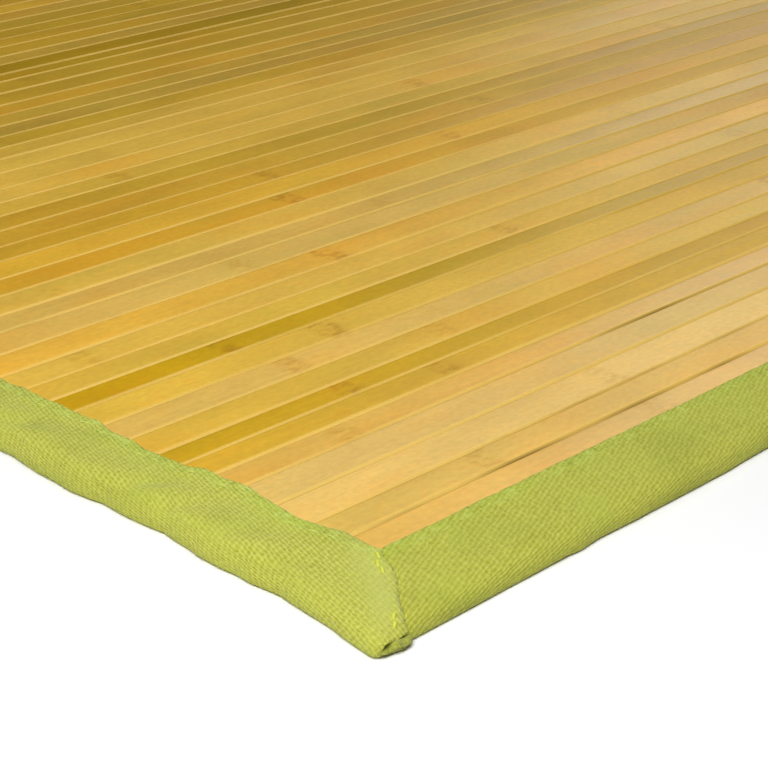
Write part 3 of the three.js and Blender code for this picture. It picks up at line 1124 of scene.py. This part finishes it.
def corner_tuck(strip, end, material):
    """The folded tongue of cloth that shows under the tip of a corner."""
    rows = np.array(TUCK_LINE)
    rows[:, 0] *= strip.tip[end] / MODEL_TIP
    t = np.linspace(0, 1, TUCK_STEPS)
    line = np.stack([np.interp(t, np.linspace(0, 1, len(rows)), rows[:, k]) for k in range(3)], 1)
    for _ in range(3):
        line[1:-1] = (line[:-2] + 2 * line[1:-1] + line[2:]) / 4
    run = np.gradient(line[:, :2], axis=0)
    run /= np.linalg.norm(run, axis=1)[:, None]
    away = np.stack([-run[:, 1], run[:, 0]], 1)
    a = np.arange(TUCK_SIDES) * 2 * np.pi / TUCK_SIDES
    lumps = 1 + 0.2 * waves(t[:, None] * 45, a * 3, 8.0, strip.seed + TUCK_SEED + end)
    ends_in = np.clip(np.minimum(t, 1 - t) * 8, 0.15, 1)[:, None]
    bulge = TUCK_FAT * lumps * ends_in * np.cos(a) - TUCK_IN
    z = 0.15 + line[:, 2:3] * ends_in * (0.5 + 0.5 * np.sin(a)) * np.minimum(lumps, 1.05)
    out = line[:, 0:1] + away[:, 0:1] * bulge
    past = line[:, 1:2] + away[:, 1:2] * bulge
    points = strip.to_rug(strip.beyond(past, end), out, z).reshape(-1, 3)
    piece = mesh_object(f"tuck_{strip.tips[end]}", points, tube_faces(TUCK_STEPS, TUCK_SIDES), material)
    along = np.repeat(t * TUCK_LONG, TUCK_SIDES)
    around = np.tile(a / (2 * np.pi) * TUCK_ROUND, TUCK_STEPS)
    flat = np.stack([along * MM, around * MM, np.zeros_like(along)], -1)
    store(piece, "cloth_place", "FLOAT_VECTOR", flat)
    store(piece, "cloth_worn", "FLOAT", np.full_like(along, TUCK_WORN))
    return piece


# Camera, at the photograph's angle
LENS = 101.9
SENSOR = 36
CLIP = (0.01, 60)
LOOK_DOWN = math.radians(23.32)
HEADING = math.radians(47.29)  # from +Y to +X
ROLL = math.radians(1.06)
EYE_FROM_CORNER = Vector((-488, -452, 348))


def camera():
    data = bpy.data.cameras.new("camera")
    data.lens = LENS
    data.sensor_width = SENSOR
    data.clip_start, data.clip_end = CLIP
    eye = bpy.data.objects.new("camera", data)
    ahead = Vector((math.sin(HEADING) * math.cos(LOOK_DOWN), math.cos(HEADING) * math.cos(LOOK_DOWN),
                    -math.sin(LOOK_DOWN)))
    level = Vector((math.cos(HEADING), -math.sin(HEADING), 0))
    right = level * math.cos(ROLL) + level.cross(ahead) * math.sin(ROLL)
    up = right.cross(ahead)
    place = (CORNER + EYE_FROM_CORNER) * MM
    turn = Matrix((right, up, -ahead)).transposed()
    eye.matrix_world = Matrix.Translation(place) @ turn.to_4x4()
    bpy.context.scene.collection.objects.link(eye)
    bpy.context.scene.camera = eye


# Floor, sky and lights. The sky is bright overhead and dim at the sides, with a soft change between two
# heights. Sizes and places here are in metres.
FLOOR_REACH = 40.0
FLOOR_DROP = 0.0003
FLOOR_TONE = (0.95, 0.95, 0.95, 1)
SKY = {"From Min": 0.62, "From Max": 0.95, "To Min": 0.06, "To Max": 1.0}
LIGHTS = [
    {"name": "key", "at": (-1.15, -1.12, 0.9), "to": (-0.54, -0.79, 0), "size": (0.6, 0.6), "watts": 9.6},
    {"name": "overhead", "at": (-0.4, -0.5, 2.4), "to": (-0.3, -0.5, 0), "size": (2.6, 2.6), "watts": 5.0},
    {"name": "sheen", "at": (3.73, 1.33, 1.91), "to": (-0.27, -0.72, 0), "size": (1.8, 1.4), "watts": 20.0},
]


def studio_floor():
    g = Graph("floor_pale")
    g.surface({"Base Color": FLOOR_TONE, "Roughness": 0.9, "Specular IOR Level": 0.0})
    mesh = bpy.data.meshes.new("floor")
    corners = [(x * FLOOR_REACH, y * FLOOR_REACH, 0) for x, y in ((-1, -1), (1, -1), (1, 1), (-1, 1))]
    mesh.from_pydata(corners, [], [(0, 1, 2, 3)])
    mesh.materials.append(g.material)
    piece = bpy.data.objects.new("floor", mesh)
    bpy.context.scene.collection.objects.link(piece)
    piece.location.z = -FLOOR_DROP


def studio_sky():
    world = bpy.data.worlds.new("studio")
    world.use_nodes = True
    nodes = world.node_tree.nodes
    links = world.node_tree.links
    split = nodes.new("ShaderNodeSeparateXYZ")
    rise = nodes.new("ShaderNodeMapRange")
    rise.interpolation_type = "SMOOTHSTEP"
    for key, value in SKY.items():
        rise.inputs[key].default_value = value
    links.new(nodes.new("ShaderNodeTexCoord").outputs["Generated"], split.inputs[0])
    links.new(split.outputs[2], rise.inputs["Value"])
    nodes["Background"].inputs["Color"].default_value = (1, 1, 1, 1)
    links.new(rise.outputs[0], nodes["Background"].inputs["Strength"])
    bpy.context.scene.world = world


def area_light(name, at, to, size, watts):
    data = bpy.data.lights.new(name, "AREA")
    data.shape = "RECTANGLE"
    data.size, data.size_y = size
    data.energy = watts
    light = bpy.data.objects.new(name, data)
    light.location = at
    light.rotation_euler = (Vector(to) - Vector(at)).to_track_quat("-Z", "Y").to_euler()
    bpy.context.scene.collection.objects.link(light)


bamboo = bamboo_material()
side_twill = twill_material("twill_side", SIDE_DYE, 0.75)
# The end strips and the tucks get darker copies of the twill, as painted shade
end_twill_shaded = twill_material("twill_end_shaded", END_SHADE_TINT, 0.45)
tuck_twill_shaded = twill_material("twill_tuck_shaded", TUCK_SHADE_TINT, 0.8)
bright_thread = thread_material("thread_bright", linear(190, 196, 50), linear(232, 234, 92))
pale_thread = thread_material("thread_pale", linear(182, 192, 76), linear(214, 224, 110))

camera()
studio_floor()
studio_sky()
for row in LIGHTS:
    area_light(**row)
bpy.context.scene.view_settings.view_transform = "Standard"

slats = slat_field(bamboo)
recalculate(slats)
for strip_name in STRIPS:
    twill = side_twill if STRIPS[strip_name]["over"] else end_twill_shaded
    cloth, strip = binding_strip(strip_name, twill)
    recalculate(cloth)
    extras = [hem_stitches(strip, pale_thread)]
    if strip.over:
        for end in (0, 1):
            extras.append(seam_stitches(strip, end, bright_thread))
            tuck = corner_tuck(strip, end, tuck_twill_shaded)
            recalculate(tuck)
            extras.append(tuck)
    past = 2 * END_FLAP if strip.over else sum(strip.seam)
